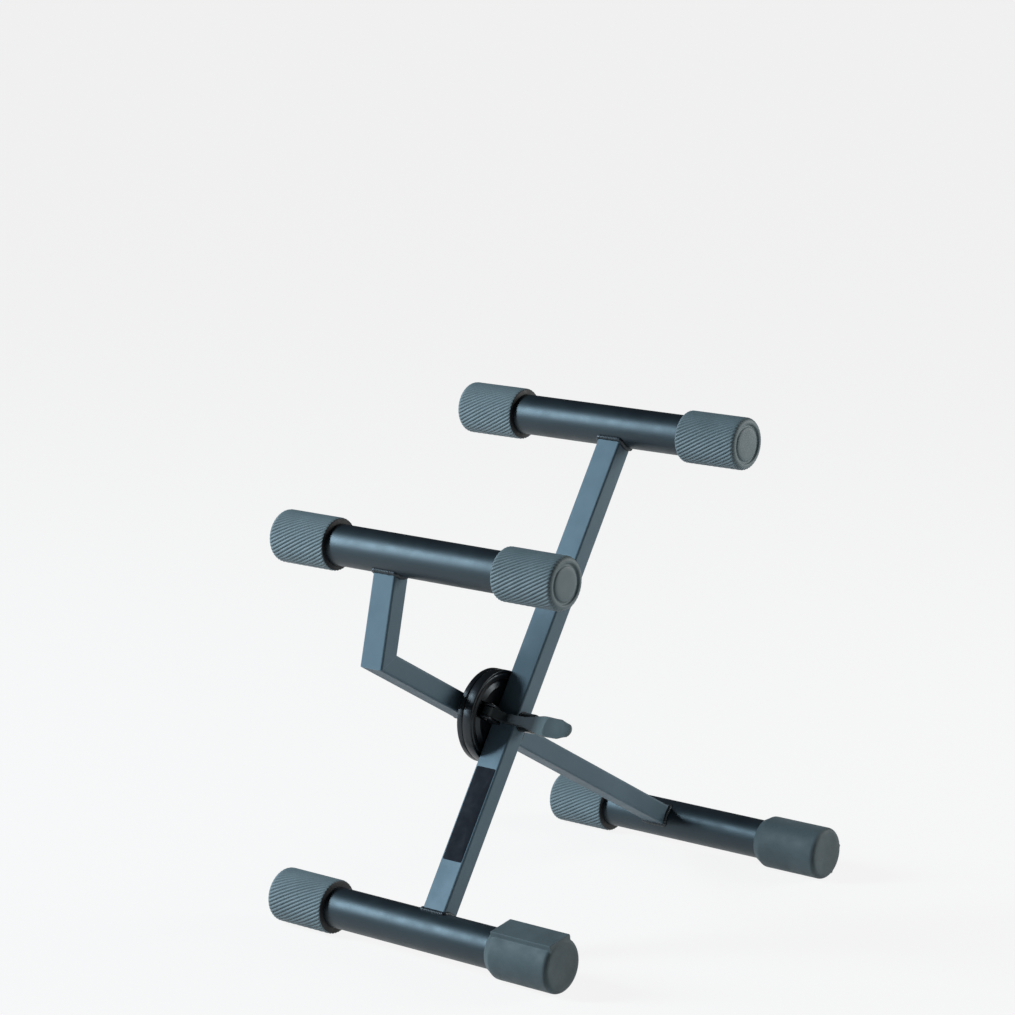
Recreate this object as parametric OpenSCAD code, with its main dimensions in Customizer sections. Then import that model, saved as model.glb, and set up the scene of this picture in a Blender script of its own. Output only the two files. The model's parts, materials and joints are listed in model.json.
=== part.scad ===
// Folding amp stand: two crossed steel legs on a toothed disc hinge, each with a round
// cross bar at both ends, rubber grips on the bars and two turnable levelling feet.
// Millimetres. +Z is up, +X runs along the cross bars, -Y is the front of the stand.
// The origin lies on the floor, midway between the two base bars and midway along the stand.

/* [Cross bars] */
// Length of each cross bar over its two end caps
bar_len = 326; // [280:1:420]
// Outer diameter of the cross bar tube
bar_d = 38.1; // [32:0.1:42]
// Wall of the cross bar tube
bar_wall = 1.5; // [1.2:0.1:2.5]

/* [Legs] */
// Width of the leg tube along the cross bars
tube_w = 26; // [23:0.5:30]
// Depth of the leg tube in the plane of the fold
tube_t = 19.5; // [16:0.5:22]
// Wall of the leg tube
tube_wall = 1.5; // [1.2:0.1:2.5]
// Outer corner radius of the leg tube
tube_corner = 2.2; // [1.8:0.1:3]
// Straight leg, front base bar to pivot
leg_a_low = 209; // [190:1:240]
// Straight leg, pivot to rear top bar
leg_a_top = 300; // [260:1:310]
// Slope of the straight leg above the floor
leg_a_angle = 57; // [50:0.5:62]
// Bent leg, rear base bar to pivot
leg_b_low = 359; // [350:1:400]
// Bent leg, pivot to the mitred corner
leg_b_top = 148; // [120:1:160]
// Turn of the bent leg at its mitred corner
bend_angle = 73.5; // [60:0.5:85]
// Bent leg, mitred corner to front top bar
upright_len = 97; // [80:1:120]
// Centre of the straight leg along the cross bars
leg_a_x = 17.3; // [14:0.1:20]
// Width of the weld fillets round the leg ends
weld = 2.6; // [1.5:0.1:4]

/* [End caps] */
// Outer diameter of the rubber end grips on the base bars
grip_d = 50.8; // [46:0.1:58]
// Outer diameter of the rubber end grips on the top bars
top_grip_d = 49; // [46:0.1:58]
// Length of a rubber end grip
grip_len = 66; // [50:1:80]
// Thickness of the closed end of a grip or foot
cap_end = 6; // [4:0.5:9]
// Length of a levelling foot
foot_len = 73; // [64:1:85]
// Length of the flared inner end of a levelling foot
foot_flare = 8; // [5:0.5:12]
// How far the front foot is drawn out on its bar
front_foot_out = 4.2; // [0:0.1:8]
// Rounding of a foot's outer end
foot_round = 5; // [3:0.5:6]
// Width of the flat pad on a levelling foot
pad_w = 29; // [22:0.5:30]
// Tilt of the front foot's pad from straight up, towards the front
front_pad_turn = 8.7; // [0:0.1:20]
// Tilt of the rear foot's pad from straight up, towards the rear
rear_pad_turn = 118; // [60:1:118]

/* [Disc lock] */
// Outer diameter of the two locking discs
disc_d = 88; // [84:1:96]
// Thickness of the toothed disc on the bent leg
disc_b_t = 13.2; // [12:0.1:16]
// Thickness of the disc housing on the straight leg
disc_a_t = 9.6; // [8.4:0.1:11]
// Running gap between the two discs
disc_gap = 0.4; // [0.3:0.1:1]
// Gap between the toothed disc and the bent leg
disc_seat = 0.2; // [0:0.1:0.4]
// Number of locking teeth round each ring
teeth = 40; // [24:1:45]
// Height of a locking tooth
tooth_h = 1.5; // [1:0.1:2]
// Inner diameter of the tooth rings
tooth_in_d = 44; // [40:1:50]
// Outer diameter of the lock plate
plate_d = 68; // [64:1:70]
// Thickness of the lock plate
plate_t = 3.5; // [3:0.1:4]
// Travel of the lock plate when the lever is pulled
release = 3; // [2:0.1:3]
// Gap between facing tooth tips with the lock plate forward
tip_gap = 0.3; // [0.2:0.05:0.5]

/* [Pivot] */
// Diameter of the pivot bolt
bolt_d = 8; // [7:0.5:9]
// Outer diameter of the sleeve that the bent leg turns on
sleeve_d = 11; // [10.6:0.1:11.4]
// Outer diameter of the nylon bush in the bent leg
bush_d = 13; // [12.6:0.1:13.4]
// Radial clearance of turning fits
turn_clear = 0.06; // [0.03:0.01:0.1]
// Thickness of the pivot washers
washer_t = 1.6; // [1:0.1:2.5]

/* [Release lever] */
// Lever plane, measured up the straight leg from the pivot
lever_y = -3.5; // [-8:0.5:0]
// Lever pin, in from the straight leg's side at the discs
lever_pin_in = 3.7; // [3.5:0.1:5]
// Lever pin in front of the straight leg's centre plane
lever_pin_z = 25; // [24:0.5:27]
// Drive pin in front of the pivot axis
drive_pin_z = 15.5; // [15:0.1:16.5]
// Width of the lever's neck
neck_w = 9; // [7:0.5:9]
// Reach of the lever's tip along the cross bars
lever_reach = 99; // [80:1:105]
// Width of the lever's thumb paddle
paddle_w = 18.5; // [16:0.5:24]
// Thickness of the lever
lever_t = 5; // [4:0.5:6]

/* [Hidden] */
$fn = 96;
e = 0.01;                                   // overshoot of a cut

// Base bars lie one grip radius above the floor; the second leg's slope follows from its length
axis_h = grip_d / 2;
rise = leg_a_low * sin(leg_a_angle);
leg_b_angle = asin(rise / leg_b_low);
base_depth = leg_a_low * cos(leg_a_angle) + leg_b_low * cos(leg_b_angle);
pivot_y = leg_a_low * cos(leg_a_angle) - base_depth / 2;
pivot_z = axis_h + rise;
bar_r = bar_d / 2;
mid_x = -front_foot_out / 2;                // cross bars' middle, so that the whole is centred
cap_slip = 0.05;                            // radial slip of a grip or foot on its bar
joint_gap = 0.05;                           // gap between a coped end and its bar
bar_tube_len = bar_len - 2 * cap_end;
edge_round = 4.5;                           // rounded outer edge of a grip
inner_step = 1;                             // small step round the inner end of a grip
ring_groove_d = 36.5;                       // ring groove in the end face of a grip
ring_groove_w = 2.6;
ring_groove_depth = 1.8;
flare_lip = 2.2;                            // wall of a foot at its thin inner end
pad_from = foot_flare * 0.6;                // start of a foot's pad
pad_lead = 30;                              // slope of the pad's inner end
pad_end_gap = 1;                            // from the pad's end to the foot's end face

// Stack along the pivot axis, from the straight leg towards -X
leg_a_left = leg_a_x - tube_w / 2;
leg_a_right = leg_a_x + tube_w / 2;
housing_seat = 0.2;                         // gap between the housing and the straight leg
housing_right = leg_a_left - housing_seat;
housing_left = housing_right - disc_a_t;
disc_right = housing_left - disc_gap;
disc_left = disc_right - disc_b_t;
leg_b_right = disc_left - disc_seat;
leg_b_x = leg_b_right - tube_w / 2;
leg_b_left = leg_b_right - tube_w;

// Toothed disc and lock plate
disc_r = disc_d / 2;
back_r = disc_r - 9.5;                      // back face of the toothed disc, next to the bent leg
taper_t = 7;                                // tapered part behind the rim
taper_step = 0.8;                           // step between the taper and the rim
rim_edge = 0.5;                             // broken edges of the rims
plate_r = plate_d / 2;
plate_clear = 0.5;                          // radial gap round the lock plate
recess_depth = 2 * tooth_h + 2;             // recess in the toothed disc
recess_floor = disc_right - recess_depth;
tooth_band = plate_r - tooth_in_d / 2 - 1;  // radial length of a tooth
tooth_w = 2.2;
tooth_root = 0.5;                           // depth of a tooth's foot in its ring
floor_clear = 0.3;
plate_left = recess_floor + 2 * tooth_h + tip_gap;
plate_right = plate_left + plate_t;
floor_left = plate_right + release + floor_clear; // inner face of the housing floor
rim_groove_r = disc_r - 3;                  // middle of the ring groove inside the rim
rim_groove_w = 2.4;
rim_groove_depth = 1;
moat_r = disc_r - 7.5;                      // outer edge of the moat round the raised middle
moat_floor_r = disc_r - 10;
moat_depth = 2;
lug_w = 8;                                  // sliding keys of the lock plate
lug_out_r = disc_r - 6;
lug_clear = 0.3;
lug_step = 0.4;                             // lugs thinner than the plate on each face
lug_angles = [45, 135, 225, 315];
hub_hole_d = sleeve_d + 2 * turn_clear;
plate_hole_d = sleeve_d + 0.6;
rivet_at = 26;                              // rivet centres from the pivot, along the leg
rivet_d = 5;
seat_r = rivet_at + rivet_d / 2 + 1;        // raised middle of the housing, under the straight leg
rivet_head_d = 8.5;
rivet_head_t = 1.5;
rivet_tail_t = 2;
rivet_sink = 0.1;                           // rivet head below the surface round it

// Spring between the housing floor and the lock plate
spring_wire = 1.2;
spring_mean_r = 8.6;
spring_pocket_r = 9.5;
spring_pocket_plate = 1.8;                  // pocket depth in the lock plate
spring_pocket_floor = 1.2;                  // pocket depth in the housing floor
spring_seat = 0.15;
spring_turns = 3.5;
spring_left = plate_right - spring_pocket_plate + spring_seat + spring_wire / 2;
spring_right = floor_left + spring_pocket_floor - spring_seat - spring_wire / 2;

// Release lever: its fork holds the drive pin and turns about the lever pin
lever_pin_x = leg_a_left + lever_pin_in;
drive_pin_d = 2.2;
drive_pin_half = 11.5;
drive_pin_x = (plate_left + plate_right) / 2;
fork_clear = 0.25;
fork_r = 2.6;
fork_tail = 1.9;                            // fork past the drive pin
fork_slot_up = 4.2;                         // slot towards the lever pin
lever_pin_d = 5;
pin_past_bracket = 1.5;
lever_boss_r = 5;
lever_dx = lever_pin_x - drive_pin_x;
lever_dz = lever_pin_z - drive_pin_z;
lever_arm = sqrt(lever_dx * lever_dx + lever_dz * lever_dz);
notch_w = neck_w + 1.4;                     // notch for the fork in the lock plate
notch_from = drive_pin_z - 5.1;
window_w = notch_w;
window_from = drive_pin_z - 2.5;            // window for the lever in the housing floor
window_to = lever_pin_z + lever_boss_r;
neck_gap = 1;                               // gap between the neck and the straight leg
neck_z = tube_t / 2 + neck_gap + lever_t / 2;
neck_from = 20;
paddle_from = 42;
paddle_full = 64;
tip_taper = 15;                             // length over which the paddle narrows to its tip
tip_round = 6.5;
paddle_lift = 2.5;                          // rise of the paddle's tip towards the front
paddle_thin = 1;                            // thinning of the lever at its tip
paddle_dish_r = 52;
paddle_dish = 0.9;                          // depth of the thumb dish
paddle_dish_x = (paddle_full + lever_reach) / 2 - 3;
arm_in = 3;                                 // profile corners inside the lever's boss
arm_low = 4;
arm_slant = 2;
fork_w = neck_w - 1;
bracket_t = 2;
bracket_foot_t = 1.5;
bracket_inner = neck_w + 1;
bracket_r = 6;
bracket_from = leg_a_left + 0.3;            // left side of the bracket's foot
bracket_clear = 0.3;                        // room round the bracket's ears in the housing

// Pivot hardware
head_d = 15;                                // across the corners
head_t = 5.3;
nut_t = 8;
washer_d = 19;
washer_slip = 0.1;                          // running gap between a washer and its leg
bolt_past_nut = 5;
cap_wall = 1.4;
cap_round = 3;
cap_slack = 0.2;                            // play of the cap on the nut
cap_bolt_slack = 0.4;
cap_end_gap = 0.3;
bush_recess = 0.1;
spacer_d = bolt_d + 4;

// ---------------------------------------------------------------- frames and helpers

module at_pivot() { translate([mid_x, pivot_y, pivot_z]) children(); }

// Straight leg's own frame: Y runs up the leg, Z is its front face's normal
module in_leg_a() { at_pivot() rotate([leg_a_angle, 0, 0]) children(); }

// Bent leg's own frame: Y runs from the rear base bar to the corner, Z points down and forward
module in_leg_b() { at_pivot() rotate([180 - leg_b_angle, 0, 0]) children(); }

// Frame at the mitred corner: Y runs up the short upright
module in_upright() { in_leg_b() translate([0, leg_b_top, 0]) rotate([-bend_angle, 0, 0]) children(); }

module at_front_base() { translate([mid_x, -base_depth / 2, axis_h]) children(); }
module at_rear_base() { translate([mid_x, base_depth / 2, axis_h]) children(); }
module at_rear_top() { in_leg_a() translate([0, leg_a_top, 0]) children(); }
module at_front_top() { in_upright() translate([0, upright_len, 0]) children(); }

// Cylinder along X from x0 to x1
module rod_x(d, x0, x1) { translate([x0, 0, 0]) rotate([0, 90, 0]) cylinder(d = d, h = x1 - x0); }

// Cylinder along Y from y0 to y1
module rod_y(d, y0, y1) { translate([0, y0, 0]) rotate([-90, 0, 0]) cylinder(d = d, h = y1 - y0); }

module rounded_rect(w, h, r) {
    square([w - 2 * r, h], center = true);
    square([w, h - 2 * r], center = true);
    for (sx = [-1, 1], sy = [-1, 1])
        translate([sx * (w / 2 - r), sy * (h / 2 - r)]) circle(r = r, $fn = 32);
}

// Leg section grown by g on every side, from y0 to y1 along Y
module leg_solid(x, y0, y1, g = 0) {
    translate([x, y0, 0]) rotate([-90, 0, 0]) linear_extrude(y1 - y0)
        rounded_rect(tube_w + 2 * g, tube_t + 2 * g, tube_corner + g);
}

module leg_bore(x, y0, y1) {
    translate([x, y0, 0]) rotate([-90, 0, 0]) linear_extrude(y1 - y0)
        rounded_rect(tube_w - 2 * tube_wall, tube_t - 2 * tube_wall, tube_corner - tube_wall);
}

module leg_tube(x, y0, y1) {
    difference() {
        leg_solid(x, y0, y1);
        leg_bore(x, y0 - e, y1 + e);
    }
}

// Room for a cross bar at the end of a leg
module bar_cope() { rod_x(bar_d + 2 * joint_gap, -bar_len / 2, bar_len / 2); }

// Weld fillet round the end of a leg that reaches its bar along dir = +Y or -Y
module weld_collar(x, dir) {
    y0 = dir > 0 ? 0 : -bar_r - 2 * weld;
    difference() {
        intersection() {
            leg_solid(x, y0, y0 + bar_r + 2 * weld, weld);
            rod_x(bar_d + 2 * weld, x - tube_w, x + tube_w);
        }
        rod_x(bar_d + 2 * joint_gap, x - tube_w - 1, x + tube_w + 1);
        leg_solid(x, y0 - 1, y0 + bar_r + 2 * weld + 1, joint_gap);
    }
}

module bar_tube() {
    difference() {
        rod_x(bar_d, -bar_tube_len / 2, bar_tube_len / 2);
        rod_x(bar_d - 2 * bar_wall, -bar_tube_len / 2 - e, bar_tube_len / 2 + e);
    }
}

// Rubber grip with its closed end outwards; side = +1 on the right end, -1 on the left end
module end_grip(d, side) {
    r = d / 2;
    bore_r = bar_r + cap_slip;
    mirror([side > 0 ? 0 : 1, 0, 0]) translate([bar_len / 2 - grip_len, 0, 0]) rotate([0, 90, 0])
        difference() {
            rotate_extrude() {
                square([r - edge_round, grip_len]);
                translate([0, inner_step]) square([r, grip_len - edge_round - inner_step]);
                square([r - inner_step, grip_len - edge_round]);
                translate([r - edge_round, grip_len - edge_round]) circle(r = edge_round, $fn = 48);
            }
            translate([0, 0, -e]) cylinder(r = bore_r, h = grip_len - cap_end + e);
            translate([0, 0, grip_len - ring_groove_depth]) difference() {
                cylinder(d = ring_groove_d, h = ring_groove_depth + e);
                translate([0, 0, -e]) cylinder(d = ring_groove_d - 2 * ring_groove_w,
                                               h = ring_groove_depth + 3 * e);
            }
        }
}

// Levelling foot: a smooth cap with a flared inner end and one flat pad. turn = the pad's
// direction round the bar, measured from straight up towards the front; out = how far it is drawn out
module level_foot(turn, out) {
    r = grip_d / 2;
    rotate([turn, 0, 0]) translate([bar_len / 2 + out - foot_len, 0, 0]) difference() {
        union() {
            rotate([0, 90, 0]) rotate_extrude() {
                polygon([[0, 0], [bar_r + flare_lip, 0], [r, foot_flare], [r, foot_len - foot_round],
                         [r - foot_round, foot_len], [0, foot_len]]);
                translate([r - foot_round, foot_len - foot_round]) circle(r = foot_round, $fn = 48);
            }
            difference() {
                translate([pad_from, -pad_w / 2, 0])
                    cube([foot_len - pad_from - pad_end_gap, pad_w, r]);
                translate([pad_from, 0, r]) rotate([0, -pad_lead, 0])
                    translate([-foot_len, -pad_w, -foot_len / 2]) cube([foot_len, 2 * pad_w, foot_len]);
            }
        }
        rod_x(bar_d + 2 * cap_slip, -e, foot_len - cap_end);
    }
}

// ---------------------------------------------------------------- straight leg and its bars

module leg_a_tube() {
    color("#3c464c") in_leg_a() difference() {
        leg_tube(leg_a_x, -leg_a_low, leg_a_top);
        translate([0, -leg_a_low, 0]) bar_cope();
        translate([0, leg_a_top, 0]) bar_cope();
        rod_x(bolt_d, leg_a_left - 1, leg_a_right + 1);
        for (s = [-1, 1]) translate([0, s * rivet_at, 0])
            rod_x(rivet_d, leg_a_left - 1, leg_a_left + tube_wall + 1);
    }
}

module front_base_bar() { color("#14181b") at_front_base() bar_tube(); }
module rear_top_bar() { color("#14181b") at_rear_top() bar_tube(); }
module front_base_left_grip() { color("#5b6a72") at_front_base() end_grip(grip_d, -1); }
module rear_top_left_grip() { color("#5b6a72") at_rear_top() end_grip(top_grip_d, -1); }
module rear_top_right_grip() { color("#5b6a72") at_rear_top() end_grip(top_grip_d, 1); }

module leg_a_welds() {
    color("#2c3338") in_leg_a() {
        translate([0, -leg_a_low, 0]) weld_collar(leg_a_x, 1);
        translate([0, leg_a_top, 0]) weld_collar(leg_a_x, -1);
    }
}

// ---------------------------------------------------------------- bent leg and its bars

// Everything on one side of the mitre plane, in the bent leg's frame
module half_beyond(keep_long) {
    big = leg_b_low + upright_len;
    translate([0, leg_b_top, 0]) rotate([-bend_angle / 2, 0, 0])
        translate([-big, keep_long ? -joint_gap / 2 : joint_gap / 2 - 2 * big, -big])
            cube([2 * big, 2 * big, 2 * big]);
}

module leg_b_long_tube() {
    color("#3c464c") in_leg_b() difference() {
        leg_tube(leg_b_x, -leg_b_low, leg_b_top + tube_t);
        translate([0, -leg_b_low, 0]) bar_cope();
        half_beyond(true);
        rod_x(bush_d, leg_b_left - 1, leg_b_right + 1);
        for (s = [-1, 1]) translate([0, s * rivet_at, 0])
            rod_x(rivet_d, leg_b_right - tube_wall - 1, leg_b_right + 1);
    }
}

module leg_b_upright_tube() {
    color("#3c464c") difference() {
        in_upright() difference() {
            leg_tube(leg_b_x, -tube_t, upright_len);
            translate([0, upright_len, 0]) bar_cope();
        }
        in_leg_b() half_beyond(false);
    }
}

module rear_base_bar() { color("#14181b") at_rear_base() bar_tube(); }
module front_top_bar() { color("#14181b") at_front_top() bar_tube(); }
module rear_base_left_grip() { color("#5b6a72") at_rear_base() end_grip(grip_d, -1); }
module front_top_left_grip() { color("#5b6a72") at_front_top() end_grip(top_grip_d, -1); }
module front_top_right_grip() { color("#5b6a72") at_front_top() end_grip(top_grip_d, 1); }

module leg_b_welds() {
    color("#2c3338") {
        in_leg_b() translate([0, -leg_b_low, 0]) weld_collar(leg_b_x, 1);
        in_upright() translate([0, upright_len, 0]) weld_collar(leg_b_x, -1);
    }
}

// ---------------------------------------------------------------- locking discs

// Ring of radial teeth standing on the plane x = x0, towards +X
module tooth_ring(x0) {
    for (i = [0 : teeth - 1]) rotate([i * 360 / teeth, 0, 0])
        translate([x0 - tooth_root, -tooth_w / 2, tooth_in_d / 2])
            cube([tooth_h + tooth_root, tooth_w, tooth_band]);
}

module toothed_disc() {
    color("#101214") in_leg_b() difference() {
        union() {
            difference() {
                translate([disc_left, 0, 0]) rotate([0, 90, 0]) rotate_extrude()
                    polygon([[0, 0], [back_r, 0], [disc_r - taper_step, taper_t],
                             [disc_r, taper_t + taper_step], [disc_r, disc_b_t - rim_edge],
                             [disc_r - rim_edge, disc_b_t], [0, disc_b_t]]);
                rod_x(2 * (lug_out_r + plate_clear), recess_floor, disc_right + 1);
            }
            tooth_ring(recess_floor);
        }
        rod_x(hub_hole_d, disc_left - 1, disc_right + 1);
        for (s = [-1, 1]) translate([0, s * rivet_at, 0]) {
            rod_x(rivet_d, disc_left - 1, recess_floor + tooth_h + 1);
            rod_x(rivet_head_d, recess_floor - rivet_head_t, recess_floor + tooth_h + 1);
        }
    }
}

// Countersunk-side head, shank and formed tail of one rivet along X
module rivet(head_from, head_to, tail_from, tail_to) {
    rod_x(rivet_head_d - 2 * joint_gap, head_from, head_to);
    rod_x(rivet_d - 2 * joint_gap, min(head_from, tail_from), max(head_to, tail_to));
    rod_x(rivet_head_d - 2 * joint_gap, tail_from, tail_to);
}

module toothed_disc_rivets() {
    wall_in = leg_b_right - tube_wall - joint_gap;
    color("#8d9296") in_leg_b() for (s = [-1, 1]) translate([0, s * rivet_at, 0])
        rivet(recess_floor - rivet_head_t + joint_gap, recess_floor - rivet_sink,
              wall_in - rivet_tail_t, wall_in);
}

// Sliding keys of the lock plate, grown by g
module plate_lugs(x0, x1, g = 0) {
    for (a = lug_angles) rotate([a, 0, 0])
        translate([x0, -lug_w / 2 - g, 0]) cube([x1 - x0, lug_w + 2 * g, lug_out_r + g]);
}

// Room for the bracket's ears, from the housing's raised middle out into its moat
module bracket_pocket() {
    w = bracket_inner + 2 * (bracket_t + bracket_clear);
    x0 = housing_right - moat_depth - bracket_clear;
    intersection() {
        translate([x0, lever_y - w / 2, lever_pin_z - bracket_r - bracket_clear])
            cube([disc_a_t, w, moat_r]);
        rod_x(2 * (moat_floor_r + 1), x0 - 1, housing_right + 1);
    }
}

module disc_housing() {
    color("#101214") in_leg_a() difference() {
        translate([housing_left, 0, 0]) rotate([0, 90, 0]) rotate_extrude()
            polygon([[0, 0], [disc_r - rim_edge, 0], [disc_r, rim_edge],
                     [disc_r, disc_a_t - rim_edge], [disc_r - rim_edge, disc_a_t],
                     [rim_groove_r + rim_groove_w / 2, disc_a_t],
                     [rim_groove_r, disc_a_t - rim_groove_depth],
                     [rim_groove_r - rim_groove_w / 2, disc_a_t],
                     [moat_r, disc_a_t], [moat_r - rim_edge, disc_a_t - moat_depth],
                     [moat_floor_r, disc_a_t - moat_depth], [seat_r, disc_a_t], [0, disc_a_t]]);
        rod_x(plate_d + 2 * plate_clear, housing_left - 1, floor_left);
        plate_lugs(housing_left - 1, floor_left, lug_clear);
        rod_x(2 * spring_pocket_r, housing_left - 1, floor_left + spring_pocket_floor);
        rod_x(sleeve_d + 2 * joint_gap, housing_left - 1, housing_right + 1);
        translate([housing_left - 1, lever_y - window_w / 2, window_from])
            cube([disc_a_t + 2, window_w, window_to - window_from]);
        bracket_pocket();
        for (s = [-1, 1]) translate([0, s * rivet_at, 0]) {
            rod_x(rivet_d, housing_left - 1, housing_right + 1);
            rod_x(rivet_head_d, housing_left - 1, floor_left + rivet_head_t);
        }
    }
}

module housing_rivets() {
    wall_in = leg_a_left + tube_wall + joint_gap;
    color("#8d9296") in_leg_a() for (s = [-1, 1]) translate([0, s * rivet_at, 0])
        rivet(floor_left + rivet_sink, floor_left + rivet_head_t - joint_gap,
              wall_in, wall_in + rivet_tail_t);
}

module lock_plate() {
    color("#3a3f43") in_leg_a() difference() {
        union() {
            rod_x(plate_d, plate_left, plate_right);
            plate_lugs(plate_left + lug_step, plate_right - lug_step);
            translate([plate_left, 0, 0]) mirror([1, 0, 0]) tooth_ring(0);
        }
        rod_x(plate_hole_d, plate_left - tooth_h - 1, plate_right + 1);
        rod_x(2 * spring_pocket_r, plate_right - spring_pocket_plate, plate_right + 1);
        translate([plate_left - tooth_h - 1, lever_y - notch_w / 2, notch_from])
            cube([plate_t + tooth_h + 2, notch_w, lug_out_r]);
        translate([drive_pin_x, lever_y, drive_pin_z])
            rod_y(drive_pin_d, -drive_pin_half - joint_gap, drive_pin_half + joint_gap);
    }
}

module drive_pin() {
    color("#b8bcc0") in_leg_a() translate([drive_pin_x, lever_y, drive_pin_z])
        rod_y(drive_pin_d - 2 * joint_gap, -drive_pin_half, drive_pin_half);
}

// Compression spring: one wire swept along a helix round the X axis
module lock_spring() {
    sides = 8;
    rings = 70;
    span = spring_right - spring_left;
    ring = function(k) [for (j = [0 : sides - 1]) let (
        a = spring_turns * 360 * k / rings,
        b = 360 * j / sides,
        rr = spring_mean_r + spring_wire / 2 * cos(b))
        [spring_left + span * k / rings + spring_wire / 2 * sin(b), rr * cos(a), rr * sin(a)]];
    points = [for (k = [0 : rings]) each ring(k)];
    walls = [for (k = [0 : rings - 1], j = [0 : sides - 1]) let (
        p = k * sides + j,
        q = k * sides + (j + 1) % sides)
        each [[p, q, q + sides], [p, q + sides, p + sides]]];
    start_cap = [for (j = [1 : sides - 2]) [0, j + 1, j]];
    end_cap = [for (j = [1 : sides - 2]) let (o = rings * sides) [o, o + j, o + j + 1]];
    color("#c4c8cc") in_leg_a() polyhedron(points = points, faces = concat(walls, start_cap, end_cap));
}

// ---------------------------------------------------------------- pivot

module pivot_bolt() {
    head_right = leg_b_left - washer_t;
    bolt_right = leg_a_right + washer_t + nut_t + bolt_past_nut;
    color("#8d9296") in_leg_a() {
        rod_x(bolt_d - 2 * joint_gap, head_right - head_t / 2, bolt_right);
        translate([head_right - head_t, 0, 0]) rotate([0, 90, 0]) cylinder(d = head_d, h = head_t, $fn = 6);
    }
}

module pivot_washer(x0) {
    difference() {
        rod_x(washer_d, x0, x0 + washer_t - washer_slip);
        rod_x(bolt_d, x0 - 1, x0 + washer_t + 1);
    }
}

module pivot_washers() {
    color("#a4a9ad") in_leg_a() {
        pivot_washer(leg_b_left - washer_t);
        pivot_washer(leg_a_right + washer_slip);
    }
}

module pivot_nut() {
    color("#8d9296") in_leg_a() translate([leg_a_right + washer_t, 0, 0]) difference() {
        rotate([0, 90, 0]) cylinder(d = head_d, h = nut_t, $fn = 6);
        rod_x(bolt_d, -1, nut_t + 1);
    }
}

// Black push-on cap over the nut and the end of the bolt
module pivot_nut_cap() {
    inner_d = head_d + cap_slack;
    cap_r = inner_d / 2 + cap_wall;
    cap_in = nut_t + bolt_past_nut + cap_end_gap;
    cap_h = cap_in + cap_wall;
    color("#0d0e10") in_leg_a() translate([leg_a_right + washer_t, 0, 0]) difference() {
        rotate([0, 90, 0]) rotate_extrude() {
            square([cap_r, cap_h - cap_round]);
            square([cap_r - cap_round, cap_h]);
            translate([cap_r - cap_round, cap_h - cap_round]) circle(r = cap_round);
        }
        rod_x(inner_d, -1, nut_t + cap_slack);
        rod_x(bolt_d + cap_bolt_slack, -1, cap_in);
    }
}

module pivot_sleeve() {
    color("#c4c8cc") in_leg_a() difference() {
        rod_x(sleeve_d, leg_b_left - washer_slip, leg_a_left - joint_gap);
        rod_x(bolt_d, leg_b_left - 1, leg_a_left + 1);
    }
}

module leg_a_spacer() {
    color("#a4a9ad") in_leg_a() difference() {
        rod_x(spacer_d, leg_a_left + tube_wall + joint_gap, leg_a_right - tube_wall - joint_gap);
        rod_x(bolt_d, leg_a_left, leg_a_right);
    }
}

module leg_b_bush() {
    color("#e6e3d8") in_leg_b() difference() {
        rod_x(bush_d - 2 * joint_gap, leg_b_left + bush_recess, leg_b_right - bush_recess);
        rod_x(hub_hole_d, leg_b_left - 1, leg_b_right + 1);
    }
}

// ---------------------------------------------------------------- release lever

// Two ears and a foot on the front face of the straight leg
module lever_bracket() {
    foot_z = tube_t / 2 + joint_gap;
    half = bracket_inner / 2 + bracket_t;
    foot_len_x = lever_pin_x + bracket_r - bracket_from;
    color("#23282c") in_leg_a() translate([0, lever_y, 0]) {
        for (s = [-1, 1]) translate([0, s * (bracket_inner + bracket_t) / 2, 0]) difference() {
            union() {
                translate([lever_pin_x, 0, lever_pin_z]) rod_y(2 * bracket_r, -bracket_t / 2, bracket_t / 2);
                translate([bracket_from, -bracket_t / 2, foot_z])
                    cube([foot_len_x, bracket_t, lever_pin_z - foot_z]);
            }
            translate([lever_pin_x, 0, lever_pin_z])
                rod_y(lever_pin_d + 2 * joint_gap, -bracket_t, bracket_t);
        }
        translate([bracket_from, -half, foot_z]) cube([foot_len_x, 2 * half, bracket_foot_t]);
    }
}

module lever_pin() {
    half = bracket_inner / 2 + bracket_t + pin_past_bracket;
    color("#b8bcc0") in_leg_a() translate([lever_pin_x, lever_y, lever_pin_z])
        rod_y(lever_pin_d, -half, half);
}

// Side profile of the lever, in the plane across its pin (X to the right, Z to the front)
module lever_side() {
    neck_low = neck_z - lever_t / 2;
    neck_high = neck_z + lever_t / 2;
    tip_low = neck_z + paddle_lift;
    polygon([[lever_pin_x - arm_in, lever_pin_z], [lever_pin_x, lever_pin_z - arm_low],
             [neck_from, neck_low], [paddle_full, neck_low], [lever_reach, tip_low],
             [lever_reach, tip_low + lever_t - paddle_thin], [paddle_full, neck_high],
             [neck_from + arm_slant, neck_high], [lever_pin_x + arm_in, lever_pin_z + arm_in]]);
    translate([lever_pin_x, lever_pin_z]) circle(r = lever_boss_r);
}

// Outline of the lever seen from the front (X to the right, Y up the leg)
module lever_outline() {
    half = paddle_w / 2;
    tip_x = lever_reach - tip_round;
    translate([0, -neck_w / 2]) square([paddle_from + 1, neck_w]);
    polygon([[paddle_from, -neck_w / 2], [paddle_full, -half], [lever_reach - tip_taper, -half],
             [tip_x, -tip_round], [tip_x, tip_round], [lever_reach - tip_taper, half],
             [paddle_full, half], [paddle_from, neck_w / 2]]);
    translate([tip_x, 0]) circle(r = tip_round);
}

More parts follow.
